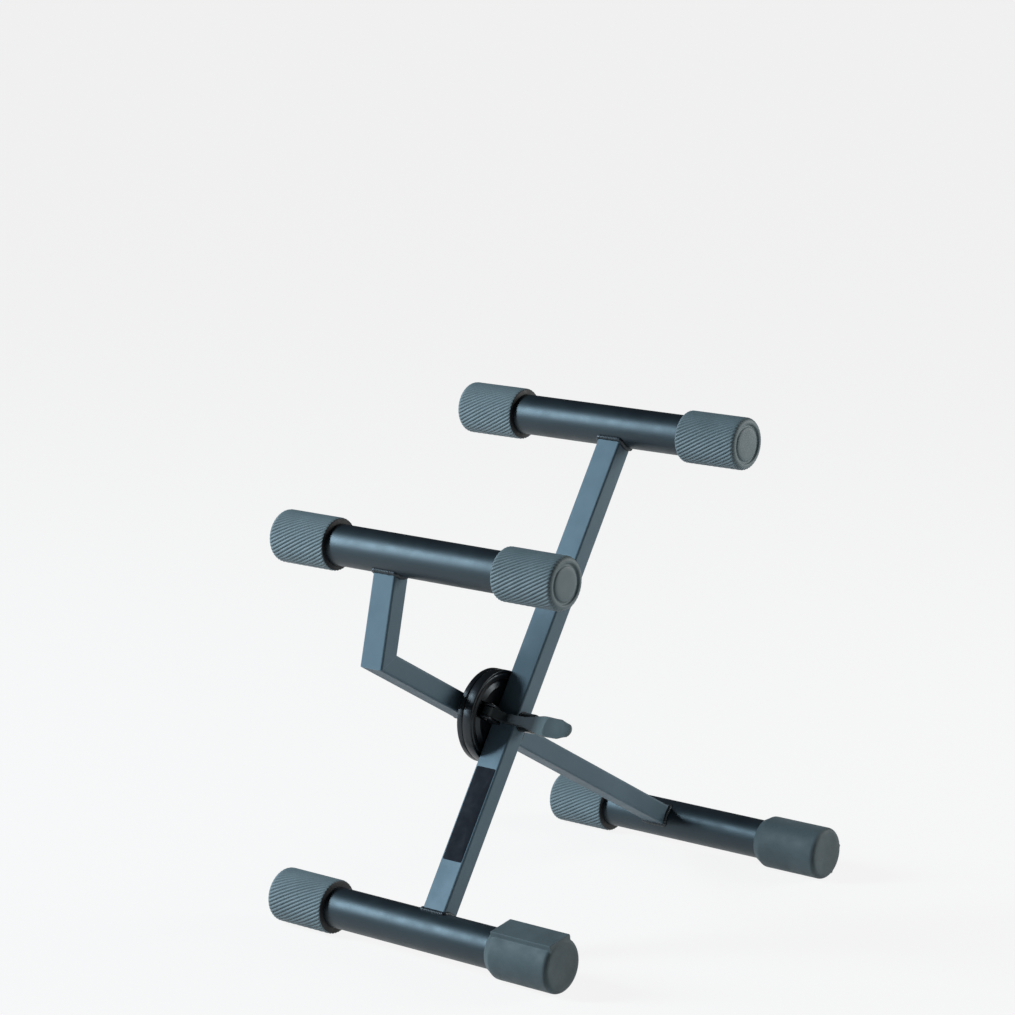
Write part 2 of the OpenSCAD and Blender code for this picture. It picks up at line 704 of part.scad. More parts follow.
module release_lever() {
    arm_turn = atan2(lever_dx, lever_dz);
    slot_half = drive_pin_d / 2 + fork_clear;
    fork_end = lever_arm + fork_tail;
    color("#6f7c82") in_leg_a() translate([0, lever_y, 0]) difference() {
        union() {
            intersection() {
                translate([0, paddle_w, 0]) rotate([90, 0, 0]) linear_extrude(2 * paddle_w) lever_side();
                linear_extrude(lever_pin_z + 2 * lever_boss_r) lever_outline();
            }
            // Inner arm, from the lever pin to the fork round the drive pin
            translate([lever_pin_x, 0, lever_pin_z]) rotate([0, arm_turn, 0])
                translate([-fork_r, -fork_w / 2, -fork_end])
                    cube([2 * fork_r, fork_w, fork_end - lever_pin_d / 2 - 1]);
        }
        translate([lever_pin_x, 0, lever_pin_z]) rod_y(lever_pin_d + 2 * turn_clear, -neck_w, neck_w);
        translate([lever_pin_x, 0, lever_pin_z]) rotate([0, arm_turn, 0])
            translate([-slot_half, -neck_w, -fork_end - 1])
                cube([2 * slot_half, 2 * neck_w, fork_tail + 1 + fork_slot_up]);
        translate([paddle_dish_x, 0, neck_z + lever_t / 2 + paddle_dish_r - paddle_dish])
            rotate([90, 0, 0]) sphere(r = paddle_dish_r);
    }
}

// ---------------------------------------------------------------- levelling feet

module front_level_foot() { color("#56656d") at_front_base() level_foot(front_pad_turn, front_foot_out); }
module rear_level_foot() { color("#56656d") at_rear_base() level_foot(-rear_pad_turn, 0); }

// ---------------------------------------------------------------- nodes

leg_a_tube();
front_base_bar();
rear_top_bar();
front_base_left_grip();
rear_top_left_grip();
rear_top_right_grip();
leg_a_welds();
disc_housing();
housing_rivets();
pivot_bolt();
pivot_washers();
pivot_nut();
pivot_nut_cap();
pivot_sleeve();
leg_a_spacer();
lever_bracket();
lever_pin();
leg_b_long_tube();
leg_b_upright_tube();
rear_base_bar();
front_top_bar();
rear_base_left_grip();
front_top_left_grip();
front_top_right_grip();
leg_b_welds();
toothed_disc();
toothed_disc_rivets();
leg_b_bush();
lock_plate();
drive_pin();
lock_spring();
release_lever();
front_level_foot();
rear_level_foot();
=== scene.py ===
# Looks of the folding stand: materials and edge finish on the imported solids, and pieces of its
# own for the knurled grips, the moulded feet, the cast lever, the lock spring, the rippled welds
# and the blank label.
import json
import math

import bpy
from mathutils import Matrix, Vector, noise


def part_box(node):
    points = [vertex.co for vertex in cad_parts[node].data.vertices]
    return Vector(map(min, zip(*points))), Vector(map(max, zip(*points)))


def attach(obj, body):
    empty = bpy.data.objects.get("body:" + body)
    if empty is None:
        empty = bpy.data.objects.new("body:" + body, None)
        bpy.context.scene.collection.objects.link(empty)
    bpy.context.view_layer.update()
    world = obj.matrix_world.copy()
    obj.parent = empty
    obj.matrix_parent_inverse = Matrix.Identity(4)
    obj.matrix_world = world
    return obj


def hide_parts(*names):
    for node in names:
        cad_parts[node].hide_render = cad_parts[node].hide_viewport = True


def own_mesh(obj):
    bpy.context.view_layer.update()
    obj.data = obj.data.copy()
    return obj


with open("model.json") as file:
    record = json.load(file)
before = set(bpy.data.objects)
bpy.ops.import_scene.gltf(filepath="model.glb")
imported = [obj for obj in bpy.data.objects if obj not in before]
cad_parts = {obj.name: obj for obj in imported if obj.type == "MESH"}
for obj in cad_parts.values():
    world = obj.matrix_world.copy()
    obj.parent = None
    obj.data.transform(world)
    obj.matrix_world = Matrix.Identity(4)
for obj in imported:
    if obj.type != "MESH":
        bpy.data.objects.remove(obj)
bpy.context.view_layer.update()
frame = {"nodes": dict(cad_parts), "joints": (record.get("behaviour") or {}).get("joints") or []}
scene = bpy.context.scene
nodes = frame["nodes"]
MM = 0.001

# ------------------------------------------------------------------ places, from the frame

BAR_R = 19.05 * MM           # outer radius of the cross bars
BORE_R = BAR_R + 0.05 * MM   # bore of the grips and feet that sit on them
TUBE_T = 19.5 * MM           # leg tube from its front face to its rear face
WELD_MERGE = 1e-6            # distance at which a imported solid's split vertices are joined


def axis_of(node):
    """Y and Z of the axis of a bar, grip or other round piece that lies along X."""
    low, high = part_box(node)
    return (low.y + high.y) / 2, (low.z + high.z) / 2


def middle_x(node):
    low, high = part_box(node)
    return (low.x + high.x) / 2


def towards(a, b):
    """Unit vector in the plane across X from one axis to another."""
    return Vector((0, b[0] - a[0], b[1] - a[1])).normalized()


pivot = next(j for j in frame["joints"] if j["name"] == "fold")["pos_m"]
pivot_axis = (pivot[1], pivot[2])
front_base = axis_of("front_base_bar")
rear_base = axis_of("rear_base_bar")
rear_top = axis_of("rear_top_bar")
front_top = axis_of("front_top_bar")
leg_a_up = towards(front_base, pivot_axis)
leg_b_up = towards(rear_base, pivot_axis)
leg_a_front = Vector((0, -leg_a_up.z, leg_a_up.y))
leg_a_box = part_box("leg_a_tube")
tube_w = leg_a_box[1].x - leg_a_box[0].x
leg_a_x = middle_x("leg_a_tube")
leg_b_x = middle_x("leg_b_long_tube")
bar_middle = middle_x("rear_top_bar")

# ------------------------------------------------------------------ camera, light and world

AZIMUTH, ELEVATION, ROLL = math.radians(38.575), math.radians(11.256), math.radians(0.222)
CAMERA_PLACE = (1.8635, -2.4241, 0.9908)
SENSOR_WIDTH = 36
LENS = 118.13
CLIP_NEAR, CLIP_FAR = 0.1, 100

back = Vector((math.sin(AZIMUTH) * math.cos(ELEVATION),
               -math.cos(AZIMUTH) * math.cos(ELEVATION), math.sin(ELEVATION)))
level = Vector((math.cos(AZIMUTH), math.sin(AZIMUTH), 0))
right = level * math.cos(ROLL) + back.cross(level) * math.sin(ROLL)
up = back.cross(right)

cam_data = bpy.data.cameras.new("camera")
cam_data.sensor_width = SENSOR_WIDTH
cam_data.lens = LENS
cam_data.clip_start, cam_data.clip_end = CLIP_NEAR, CLIP_FAR
camera = bpy.data.objects.new("camera", cam_data)
camera.matrix_world = Matrix.Translation(CAMERA_PLACE) @ Matrix(
    (right, up, back)).transposed().to_4x4()
scene.collection.objects.link(camera)
scene.camera = camera
scene.view_settings.view_transform = "Standard"

LIT_POINT = Vector((0, -0.02, 0.22))


def light_from(name, direction, distance, size, size_y, power, colour):
    """Rectangular lamp that stands in a direction from the lit point and faces it."""
    data = bpy.data.lights.new(name, "AREA")
    data.shape = "RECTANGLE"
    data.size, data.size_y = size, size_y
    data.energy = power
    data.color = colour
    lamp = bpy.data.objects.new(name, data)
    lamp.location = LIT_POINT + Vector(direction).normalized() * distance
    lamp.rotation_euler = (LIT_POINT - lamp.location).to_track_quat("-Z", "Y").to_euler()
    scene.collection.objects.link(lamp)


# The tall key stands where the shadow of the discs on the straight leg puts it
light_from("key", (-0.70, -0.575, 0.42), distance=3.2, size=0.5, size_y=1.65, power=132,
           colour=(0.76, 0.90, 1.0))
light_from("side", (0.66, 0.68, 0.32), distance=2.3, size=1.2, size_y=1.0, power=31,
           colour=(1.0, 0.99, 0.97))


def new_nodes(data):
    data.use_nodes = True
    data.node_tree.nodes.clear()
    return data.node_tree.nodes, data.node_tree.links


world = bpy.data.worlds.new("studio")
scene.world = world
world_nodes, world_links = new_nodes(world)
world_out = world_nodes.new("ShaderNodeOutputWorld")
sky = world_nodes.new("ShaderNodeBackground")
sky.inputs["Color"].default_value = (0.92, 0.96, 1.0, 1)
sky.inputs["Strength"].default_value = 0.025
world_links.new(sky.outputs[0], world_out.inputs[0])

# ------------------------------------------------------------------ materials


class Mat:
    """A Principled material with object coordinates in metres."""

    def __init__(self, name):
        self.mat = bpy.data.materials.new(name)
        self.n, self.l = new_nodes(self.mat)
        self.out = self.n.new("ShaderNodeOutputMaterial")
        self.bsdf = self.n.new("ShaderNodeBsdfPrincipled")
        self.l.new(self.bsdf.outputs[0], self.out.inputs[0])
        self.coord = self.n.new("ShaderNodeTexCoord").outputs["Object"]

    def set(self, **values):
        for key, value in values.items():
            self.bsdf.inputs[key.replace("_", " ")].default_value = value
        return self

    def noise(self, scale, detail=2.0, roughness=0.5, distortion=0.0, stretch=None):
        vector = self.coord
        if stretch:
            mapping = self.n.new("ShaderNodeMapping")
            mapping.inputs["Scale"].default_value = stretch
            self.l.new(vector, mapping.inputs["Vector"])
            vector = mapping.outputs[0]
        tex = self.n.new("ShaderNodeTexNoise")
        tex.inputs["Scale"].default_value = scale
        tex.inputs["Detail"].default_value = detail
        tex.inputs["Roughness"].default_value = roughness
        tex.inputs["Distortion"].default_value = distortion
        self.l.new(vector, tex.inputs["Vector"])
        return tex.outputs["Fac"]

    def ramp(self, value, stops):
        ramp = self.n.new("ShaderNodeValToRGB")
        elements = ramp.color_ramp.elements
        while len(elements) < len(stops):
            elements.new(0.5)
        for element, (position, colour) in zip(elements, stops):
            element.position = position
            element.color = (*colour, 1)
        self.l.new(value, ramp.inputs[0])
        return ramp.outputs[0]

    def remap(self, value, low, high, to_low, to_high):
        node = self.n.new("ShaderNodeMapRange")
        node.inputs["From Min"].default_value = low
        node.inputs["From Max"].default_value = high
        node.inputs["To Min"].default_value = to_low
        node.inputs["To Max"].default_value = to_high
        self.l.new(value, node.inputs["Value"])
        return node.outputs[0]

    def calc(self, operation, a, b=None):
        """Math node of a socket and, if it takes one, a second socket or number."""
        node = self.n.new("ShaderNodeMath")
        node.operation = operation
        self.l.new(a, node.inputs[0])
        if isinstance(b, bpy.types.NodeSocket):
            self.l.new(b, node.inputs[1])
        elif b is not None:
            node.inputs[1].default_value = b
        return node.outputs[0]

    def mix(self, factor, a, b):
        """Colour a where the factor is 0 and colour b where it is 1."""
        node = self.n.new("ShaderNodeMix")
        node.data_type = "RGBA"
        for socket, value in ((node.inputs[0], factor), (node.inputs[6], a), (node.inputs[7], b)):
            if isinstance(value, bpy.types.NodeSocket):
                self.l.new(value, socket)
            else:
                socket.default_value = (*value, 1)
        return node.outputs[2]

    def bump(self, height, distance, strength=1.0, below=None):
        node = self.n.new("ShaderNodeBump")
        node.inputs["Distance"].default_value = distance
        node.inputs["Strength"].default_value = strength
        self.l.new(height, node.inputs["Height"])
        if below is not None:
            self.l.new(below, node.inputs["Normal"])
        return node.outputs[0]

    def edges(self, radius, low=0.02, high=0.3):
        """Mask that is 1 along the edges of the mesh, from the rounded normal."""
        bevel = self.n.new("ShaderNodeBevel")
        bevel.samples = 4
        bevel.inputs["Radius"].default_value = radius
        geometry = self.n.new("ShaderNodeNewGeometry")
        dot = self.n.new("ShaderNodeVectorMath")
        dot.operation = "DOT_PRODUCT"
        self.l.new(bevel.outputs[0], dot.inputs[0])
        self.l.new(geometry.outputs["Normal"], dot.inputs[1])
        return self.remap(dot.outputs["Value"], 1 - low, 1 - high, 0.0, 1.0)

    def from_middle(self, start, end):
        """Mask that is 1 nearer to the cross bars' middle than start and 0 past end."""
        split = self.n.new("ShaderNodeSeparateXYZ")
        self.l.new(self.coord, split.inputs[0])
        shift = self.calc("SUBTRACT", split.outputs["X"], bar_middle)
        return self.remap(self.calc("ABSOLUTE", shift), start, end, 1.0, 0.0)

    def colour(self, socket):
        self.l.new(socket, self.bsdf.inputs["Base Color"])

    def roughness(self, socket):
        self.l.new(socket, self.bsdf.inputs["Roughness"])

    def normal(self, socket):
        self.l.new(socket, self.bsdf.inputs["Normal"])


BLUE_SHEEN = (0.66, 0.88, 1.0, 1)
PALE_SHEEN = (0.8, 0.92, 1.0, 1)
EDGE_WEAR = 0.7 * MM


def paint(name, dark, light, rough, peel, specular=0.5, tint=PALE_SHEEN, painted_shade_inner=None):
    """Sprayed enamel: faint clouding, orange peel and slightly rubbed edges. painted_shade_inner
    is painted shade:
    a dark colour towards the cross bars' middle, with the two distances between which it fades
    out."""
    m = Mat(name).set(Specular_IOR_Level=specular, Specular_Tint=tint)
    cloud = m.noise(14, detail=3, roughness=0.55)
    base = m.ramp(cloud, [(0.3, dark), (0.7, light)])
    # Painted shade: a dark colour mixed in towards the cross bars' middle
    if painted_shade_inner:
        colour, start, end = painted_shade_inner
        base = m.mix(m.from_middle(start, end), base, colour)
    rubbed = tuple(min(1, 1.5 * c + 0.02) for c in light)
    m.colour(m.mix(m.edges(EDGE_WEAR), base, rubbed))
    sheen = m.noise(60, detail=4, roughness=0.6)
    m.roughness(m.remap(sheen, 0.3, 0.7, rough - 0.04, rough + 0.05))
    waves = m.bump(m.noise(120), 0.12 * MM, peel)
    m.normal(m.bump(m.noise(750), 0.06 * MM, peel, waves))
    return m.mat


def rubber(name, dark, light, rough=0.55, painted_shade_inner=None):
    """Moulded rubber: fine grain, dust in the hollows and a soft sheen. painted_shade_inner is
    painted shade, as in paint.
    """
    m = Mat(name).set(Specular_IOR_Level=0.4, Sheen_Weight=0.08, Sheen_Roughness=0.4)
    cloud = m.noise(38, detail=4, roughness=0.6)
    speck = m.noise(1500, roughness=0.6)
    base = m.ramp(cloud, [(0.28, dark), (0.72, light)])
    dust = tuple(c * 1.35 for c in light)
    base = m.mix(m.remap(speck, 0.45, 0.7, 0.0, 0.35), base, dust)
    # Painted shade: a dark colour mixed in towards the cross bars' middle
    if painted_shade_inner:
        colour, start, end = painted_shade_inner
        base = m.mix(m.from_middle(start, end), base, colour)
    m.colour(base)
    m.roughness(m.remap(m.noise(90, detail=3), 0.3, 0.7, rough - 0.06, rough + 0.08))
    hollows = m.bump(m.noise(260, detail=3, roughness=0.6), 0.1 * MM, 0.5)
    m.normal(m.bump(speck, 0.08 * MM, 0.6, hollows))
    return m.mat


def metal(name, colour, rough, lay_stretch, lay_scale):
    """Bright or plated steel: a fine lay of machining marks and a faint uneven film."""
    m = Mat(name).set(Metallic=1.0)
    lay = m.noise(lay_scale, detail=3, roughness=0.6, distortion=0.2, stretch=lay_stretch)
    film = m.noise(70, detail=3, roughness=0.6)
    dull = tuple(c * 0.8 for c in colour)
    m.colour(m.mix(m.remap(film, 0.35, 0.7, 0.0, 1.0), colour, dull))
    m.roughness(m.remap(lay, 0.3, 0.7, rough - 0.07, rough + 0.1))
    m.normal(m.bump(lay, 0.03 * MM, 0.6))
    return m.mat


def plastic(name, dark, light, rough, grain, subsurface=0.0, specular=0.5):
    """Moulded plastic or film: faint clouding and a fine grain."""
    m = Mat(name).set(Specular_IOR_Level=specular, Subsurface_Weight=subsurface,
                      Subsurface_Scale=1.0 * MM)
    m.colour(m.ramp(m.noise(45, detail=3), [(0.3, dark), (0.7, light)]))
    m.roughness(m.remap(m.noise(130, detail=3), 0.3, 0.7, rough - 0.05, rough + 0.07))
    m.normal(m.bump(m.noise(1100), 0.04 * MM, grain))
    return m.mat


bar_paint = paint("black_bar_enamel", (0.010, 0.014, 0.018), (0.016, 0.023, 0.028),
                  rough=0.45, peel=0.35, specular=0.65, tint=BLUE_SHEEN)
leg_paint = paint("slate_leg_enamel", (0.092, 0.137, 0.168), (0.112, 0.166, 0.203),
                  rough=0.54, peel=0.5, specular=0.4, tint=BLUE_SHEEN)
weld_paint = paint("weld_enamel", (0.014, 0.018, 0.021), (0.026, 0.033, 0.038),
                   rough=0.40, peel=1.0)
disc_paint = paint("disc_enamel", (0.006, 0.0065, 0.008), (0.010, 0.011, 0.013),
                   rough=0.34, peel=0.5)
bracket_paint = paint("bracket_enamel", (0.018, 0.022, 0.025), (0.028, 0.034, 0.038),
                      rough=0.34, peel=0.5)
# Painted shade: the lever's inner end is painted near black for the discs' shadow that falls on
# its neck; its paddle is slate
lever_paint = paint("lever_enamel", (0.130, 0.168, 0.174), (0.158, 0.203, 0.210),
                    rough=0.52, peel=0.7, specular=0.2,
                    painted_shade_inner=((0.030, 0.036, 0.038), 54 * MM, 62 * MM))
# Painted shade: the grips' inner end faces are painted black for the shade that the bar casts on
# them
grip_rubber = rubber("grip_rubber_blue_grey", (0.125, 0.168, 0.182), (0.160, 0.212, 0.230),
                     painted_shade_inner=((0.008, 0.009, 0.011), 97.3 * MM, 97.8 * MM))
foot_rubber = rubber("foot_rubber_slate", (0.062, 0.087, 0.095), (0.086, 0.118, 0.128), rough=0.62)
black_steel = metal("black_oxide_steel", (0.045, 0.046, 0.050), 0.4, (1, 6, 6), 320)
zinc = metal("zinc_plated_steel", (0.62, 0.63, 0.64), 0.3, (1, 6, 6), 320)
sintered = metal("sintered_steel", (0.30, 0.31, 0.32), 0.42, (1, 1, 1), 700)
spring_wire = metal("spring_steel_wire", (0.55, 0.56, 0.58), 0.25, (8, 1, 1), 500)
gloss_cap = plastic("gloss_black_cap", (0.008, 0.008, 0.009), (0.012, 0.012, 0.014),
                    rough=0.18, grain=0.3)
nylon = plastic("natural_nylon", (0.62, 0.59, 0.50), (0.70, 0.67, 0.58),
                rough=0.45, grain=0.4, subsurface=0.2)
label_film = plastic("black_label_film", (0.006, 0.008, 0.013), (0.009, 0.012, 0.019),
                     rough=0.6, grain=0.25, specular=0.07)

# ------------------------------------------------------------------ floor

FLOOR_REACH = 40.0
FLOOR_GLOW = 0.87   # share of plain white where the camera sees the floor

floor_mesh = bpy.data.meshes.new("floor")
floor_mesh.from_pydata([(-FLOOR_REACH, -FLOOR_REACH, 0), (FLOOR_REACH, -FLOOR_REACH, 0),
                        (FLOOR_REACH, FLOOR_REACH, 0), (-FLOOR_REACH, FLOOR_REACH, 0)],
                       [], [(0, 1, 2, 3)])
floor = bpy.data.objects.new("floor", floor_mesh)
scene.collection.objects.link(floor)
pale = Mat("pale_floor").set(Roughness=0.9, Specular_IOR_Level=0.1)
pale.colour(pale.ramp(pale.noise(6), [(0.2, (0.60, 0.60, 0.60)), (0.8, (0.62, 0.62, 0.62))]))
glow = pale.n.new("ShaderNodeEmission")
glow.inputs["Color"].default_value = (1, 1, 1, 1)
glow.inputs["Strength"].default_value = 1.0
path = pale.n.new("ShaderNodeLightPath").outputs
seen = pale.calc("MAXIMUM", path["Is Camera Ray"], path["Is Transmission Ray"])
seen = pale.calc("MAXIMUM", seen, path["Is Glossy Ray"])
mixed = pale.n.new("ShaderNodeMixShader")
pale.l.new(pale.calc("MULTIPLY", seen, FLOOR_GLOW), mixed.inputs[0])
pale.l.new(pale.bsdf.outputs[0], mixed.inputs[1])
pale.l.new(glow.outputs[0], mixed.inputs[2])
pale.l.new(mixed.outputs[0], pale.out.inputs[0])
floor_mesh.materials.append(pale.mat)

# ------------------------------------------------------------------ making of pieces


def hand_over(obj, body, node=None):
    """Parents a finished piece to the empty of the body it rides on and hides the imported node it
    stands for.
    """
    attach(obj, body)
    if node:
        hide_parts(node)


def piece(name, verts, faces, material, body, sharp, node=None):
    """Smooth-shaded piece from points and faces; sharp is the angle of its hard edges."""
    mesh = bpy.data.meshes.new(name)
    mesh.from_pydata([tuple(v) for v in verts], [], faces)
    mesh.validate()
    mesh.materials.append(material)
    obj = bpy.data.objects.new(name, mesh)
    scene.collection.objects.link(obj)
    mesh.polygons.foreach_set("use_smooth", [True] * len(mesh.polygons))
    mesh.set_sharp_from_angle(angle=math.radians(sharp))
    hand_over(obj, body, node)


def copied(node, name):
    """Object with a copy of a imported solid's mesh."""
    mesh = nodes[node].data.copy()
    mesh.name = name
    obj = bpy.data.objects.new(name, mesh)
    scene.collection.objects.link(obj)
    return obj


def skin(rings, loop=False):
    """Quads between rings of equal length; rings that are one point long close the ends."""
    verts, faces, starts = [], [], []
    for ring in rings:
        starts.append((len(verts), len(ring)))
        verts.extend(ring)
    pairs = list(zip(starts, starts[1:])) + ([(starts[-1], starts[0])] if loop else [])
    for (a, na), (b, nb) in pairs:
        n = max(na, nb)
        for j in range(n):
            k = (j + 1) % n
            if na == 1:
                faces.append((a, b + k, b + j))
            elif nb == 1:
                faces.append((a + j, a + k, b))
            else:
                faces.append((a + j, a + k, b + k, b + j))
    return verts, faces


def flipped(faces):
    return [tuple(reversed(f)) for f in faces]


def about_axis(centre, side, x_inner):
    """Places a point given by its distance from the inner end, radius and angle (0 = front)."""
    def put(t, r, a):
        return (x_inner + side * t, centre[0] - r * math.cos(a), centre[1] + r * math.sin(a))
    return put


def rounded_rectangle(half_x, half_y, corner, steps):
    """Points round a rectangle whose corners are arcs of the given number of steps."""
    points = []
    for sx, sy, first in ((1, 1, 0), (-1, 1, 90), (-1, -1, 180), (1, -1, 270)):
        for i in range(steps + 1):
            a = math.radians(first + 90 * i / steps)
            points.append((sx * (half_x - corner) + corner * math.cos(a),
                           sy * (half_y - corner) + corner * math.sin(a)))
    return points


# ------------------------------------------------------------------ knurled grips

RIBS, PER_RIB = 42, 8
RIB_DEPTH = 1.0 * MM
RIB_LEAN = math.radians(29)
# How far the surface lies below a rib's crest, over one rib: a narrow crest and a wide valley
RIB_DROP = [1 - (0.5 + 0.5 * math.cos(2 * math.pi * p / PER_RIB)) ** 0.6 for p in range(PER_RIB)]
BARREL_START = 1.8 * MM
BARREL_STEPS = 30
GRIP_ROUND, ROUND_STEPS = 4.5 * MM, 7
END_WALL = 6 * MM
# Inner end: distance from it and depth below the barrel in mm, and share of the ribs' depth
GRIP_LEAD_IN = ((0, 1.9, 0), (0.25, 1.1, 0.1), (1.0, 0.35, 0.5))
# Outer face with its ring groove: distance from the outer end and radius in mm
GRIP_FACE = ((0.1, 18.9), (0.7, 18.35), (1.5, 18.1), (1.8, 17.6), (1.8, 16.5), (1.5, 15.9),
             (0.9, 15.5), (0.5, 14.8), (0.3, 12), (0.2, 6), (0.2, 0))


def knurled_grip(node, body, side):
    """Cap with slanting ribs; side is 1 at the bar's right end and -1 at its left end."""
    low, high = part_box(node)
    r_out = (high.z - low.z) / 2
    length = high.x - low.x
    put = about_axis(axis_of(node), side, low.x if side > 0 else high.x)
    count = RIBS * PER_RIB
    twist = math.tan(RIB_LEAN) / r_out * side
    barrel = length - GRIP_ROUND - BARREL_START

    profile = [(length - END_WALL, 0.0, 0), (length - END_WALL, BORE_R, 0), (0, BORE_R, 0)]
    profile += [(t * MM, r_out - drop * MM, share) for t, drop, share in GRIP_LEAD_IN]
    profile += [(BARREL_START + barrel * i / BARREL_STEPS, r_out, 1)
                for i in range(BARREL_STEPS + 1)]
    for i in range(1, ROUND_STEPS + 1):
        a = math.pi / 2 * i / ROUND_STEPS
        profile.append((length - GRIP_ROUND + GRIP_ROUND * math.sin(a),
                        r_out - GRIP_ROUND + GRIP_ROUND * math.cos(a),
                        max(0.0, 1 - 1.25 * i / ROUND_STEPS)))
    profile += [(length - sink * MM, r * MM, 0) for sink, r in GRIP_FACE]

    rings = []
    for t, r, share in profile:
        if r == 0:
            rings.append([put(t, 0, 0)])
        else:
            rings.append([put(t, r - RIB_DEPTH * share * RIB_DROP[j % PER_RIB],
                              2 * math.pi * j / count + twist * t) for j in range(count)])
    verts, faces = skin(rings)
    piece(node + "_rubber", verts, faces if side > 0 else flipped(faces), grip_rubber, body,
          sharp=50, node=node)


knurled_grip("front_base_left_grip", "straight_leg", -1)
knurled_grip("rear_top_left_grip", "straight_leg", -1)
knurled_grip("rear_top_right_grip", "straight_leg", 1)
knurled_grip("rear_base_left_grip", "bent_leg", -1)
knurled_grip("front_top_left_grip", "bent_leg", -1)
knurled_grip("front_top_right_grip", "bent_leg", 1)

# ------------------------------------------------------------------ moulded levelling feet

FOOT_R = 25.4 * MM
PAD_HALF = 14.5 * MM
PAD_CORNER, PAD_FOOT = 1.6 * MM, 0.8 * MM   # softness of its corners, and where it meets the round
PAD_SPAN = math.radians(80)                 # past this angle from the pad the foot is round
LIP_R = BAR_R + 2.2 * MM
FLARE = 8 * MM
FOOT_ROUND = 5 * MM
# Angles from the pad's middle, close together at its corners, then evenly round the back
PAD_ANGLES = (0, 4, 8, 12, 16, 20, 23, 25, 26.5, 27.5, 28.3, 29, 29.5, 30, 30.5, 31.2, 32, 33,
              34, 35, 36, 38, 41, 45)
BACK_STEPS = 44
# Flared inner end: distance from it, radius past the lip and height of the pad, all in metres
FOOT_FLARE = ((0, -0.4 * MM, 0), (0.4 * MM, 0, 0), (2.4 * MM, 1.0 * MM, 0),
              (4.4 * MM, 2.1 * MM, LIP_R), (4.9 * MM, 2.4 * MM, FOOT_R * 0.985),
              (5.6 * MM, 2.8 * MM, FOOT_R), (6.8 * MM, 3.5 * MM, FOOT_R))
# Rounded outer end: distance past the barrel in mm, and height of the pad, which ends there
FOOT_END = ((0.7, FOOT_R), (1.4, FOOT_R), (2.1, FOOT_R), (2.8, FOOT_R), (3.4, FOOT_R),
            (3.8, FOOT_R - 0.2 * MM), (3.98, FOOT_R - 0.7 * MM), (4.0, 0), (4.3, 0), (4.6, 0),
            (4.85, 0), (5.0, 0))
# Dished outer face: share of its radius, and depth in mm
FOOT_FACE = ((0.8, 0.05), (0.55, 0.15), (0.25, 0.22))
FOOT_FACE_DEPTH = 0.25 * MM


def soft_min(a, b, k):
    h = max(k - abs(a - b), 0) / k
    return min(a, b) - h * h * k / 4


def soft_max(a, b, k):
    return -soft_min(-a, -b, k)


def foot_radius(base, height, phi):
    """Radius of a foot's section at an angle from the pad's middle, for the given height."""
    phi = abs(phi)
    if phi > PAD_SPAN:
        return base
    top = height / max(math.cos(phi), 0.2)
    flank = PAD_HALF / max(math.sin(phi), 0.05)
    return soft_max(base, soft_min(top, flank, PAD_CORNER), PAD_FOOT)


def moulded_foot(node, body, bar, turn_deg, run_out=0.0):
    """Cap with a flared inner end, one flat pad and a rounded outer end; the pad faces turn_deg
    from up, positive towards the front. run_out is how steeply the pad sinks at its outer end."""
    low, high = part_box(node)
    length = high.x - low.x
    put = about_axis(axis_of(bar), 1, low.x)
    pad_at = math.pi / 2 - math.radians(turn_deg)
    half = [math.radians(a) for a in PAD_ANGLES]
    half += [math.radians(45 + 135 * i / BACK_STEPS) for i in range(1, BACK_STEPS)]
    angles = half + [math.pi] + [-a for a in reversed(half[1:])]

    def circle(t, r):
        return [put(t, r, pad_at + phi) for phi in angles]

    def ring(t, base, height):
        return [put(t, foot_radius(base, height, phi), pad_at + phi) for phi in angles]

    def shoulder(past):
        return FOOT_R - FOOT_ROUND + math.sqrt(max(FOOT_ROUND * FOOT_ROUND - past * past, 0))

    bore_end = length - END_WALL
    barrel_end = length - FOOT_ROUND
    rings = [[put(bore_end, 0, 0)], circle(bore_end, BORE_R), circle(0, BORE_R)]
    rings += [ring(t, LIP_R + past, height) for t, past, height in FOOT_FLARE]
    rings += [ring(FLARE, FOOT_R - 0.15 * MM, FOOT_R), ring(FLARE + 1.5 * MM, FOOT_R, FOOT_R)]
    rings += [ring(FLARE + (barrel_end - FLARE) * i / 12, FOOT_R, FOOT_R) for i in range(2, 13)]
    rings += [ring(barrel_end + past * MM, shoulder(past * MM),
                   height - run_out * (past + 0.6) * MM) for past, height in FOOT_END]
    rings += [circle(length - sink * MM, (FOOT_R - FOOT_ROUND) * share)
              for share, sink in FOOT_FACE]
    rings.append([put(length - FOOT_FACE_DEPTH, 0, 0)])
    verts, faces = skin(rings)
    piece(node + "_rubber", verts, faces, foot_rubber, body, sharp=40, node=node)


moulded_foot("front_level_foot", "front_level_foot", "front_base_bar", 8.7)
moulded_foot("rear_level_foot", "rear_level_foot", "rear_base_bar", -118, run_out=1.1)

# ------------------------------------------------------------------ cast release lever


def rounded_copy(node, name, body, material, voxel, rounds):
    """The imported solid's shape with its edges rounded as a casting's are."""
    obj = copied(node, name)
    obj.modifiers.new("weld", "WELD").merge_threshold = WELD_MERGE
    remesh = obj.modifiers.new("voxels", "REMESH")
    remesh.mode = "VOXEL"
    remesh.voxel_size = voxel
    rounding = obj.modifiers.new("rounding", "SMOOTH")
    rounding.factor = 0.5
    rounding.iterations = rounds
    depsgraph = bpy.context.evaluated_depsgraph_get()
    made = bpy.data.meshes.new_from_object(obj.evaluated_get(depsgraph))
    obj.modifiers.clear()
    obj.data = made
    made.name = name
    made.materials.clear()
    made.materials.append(material)
    made.polygons.foreach_set("use_smooth", [True] * len(made.polygons))
    hand_over(obj, body, node)


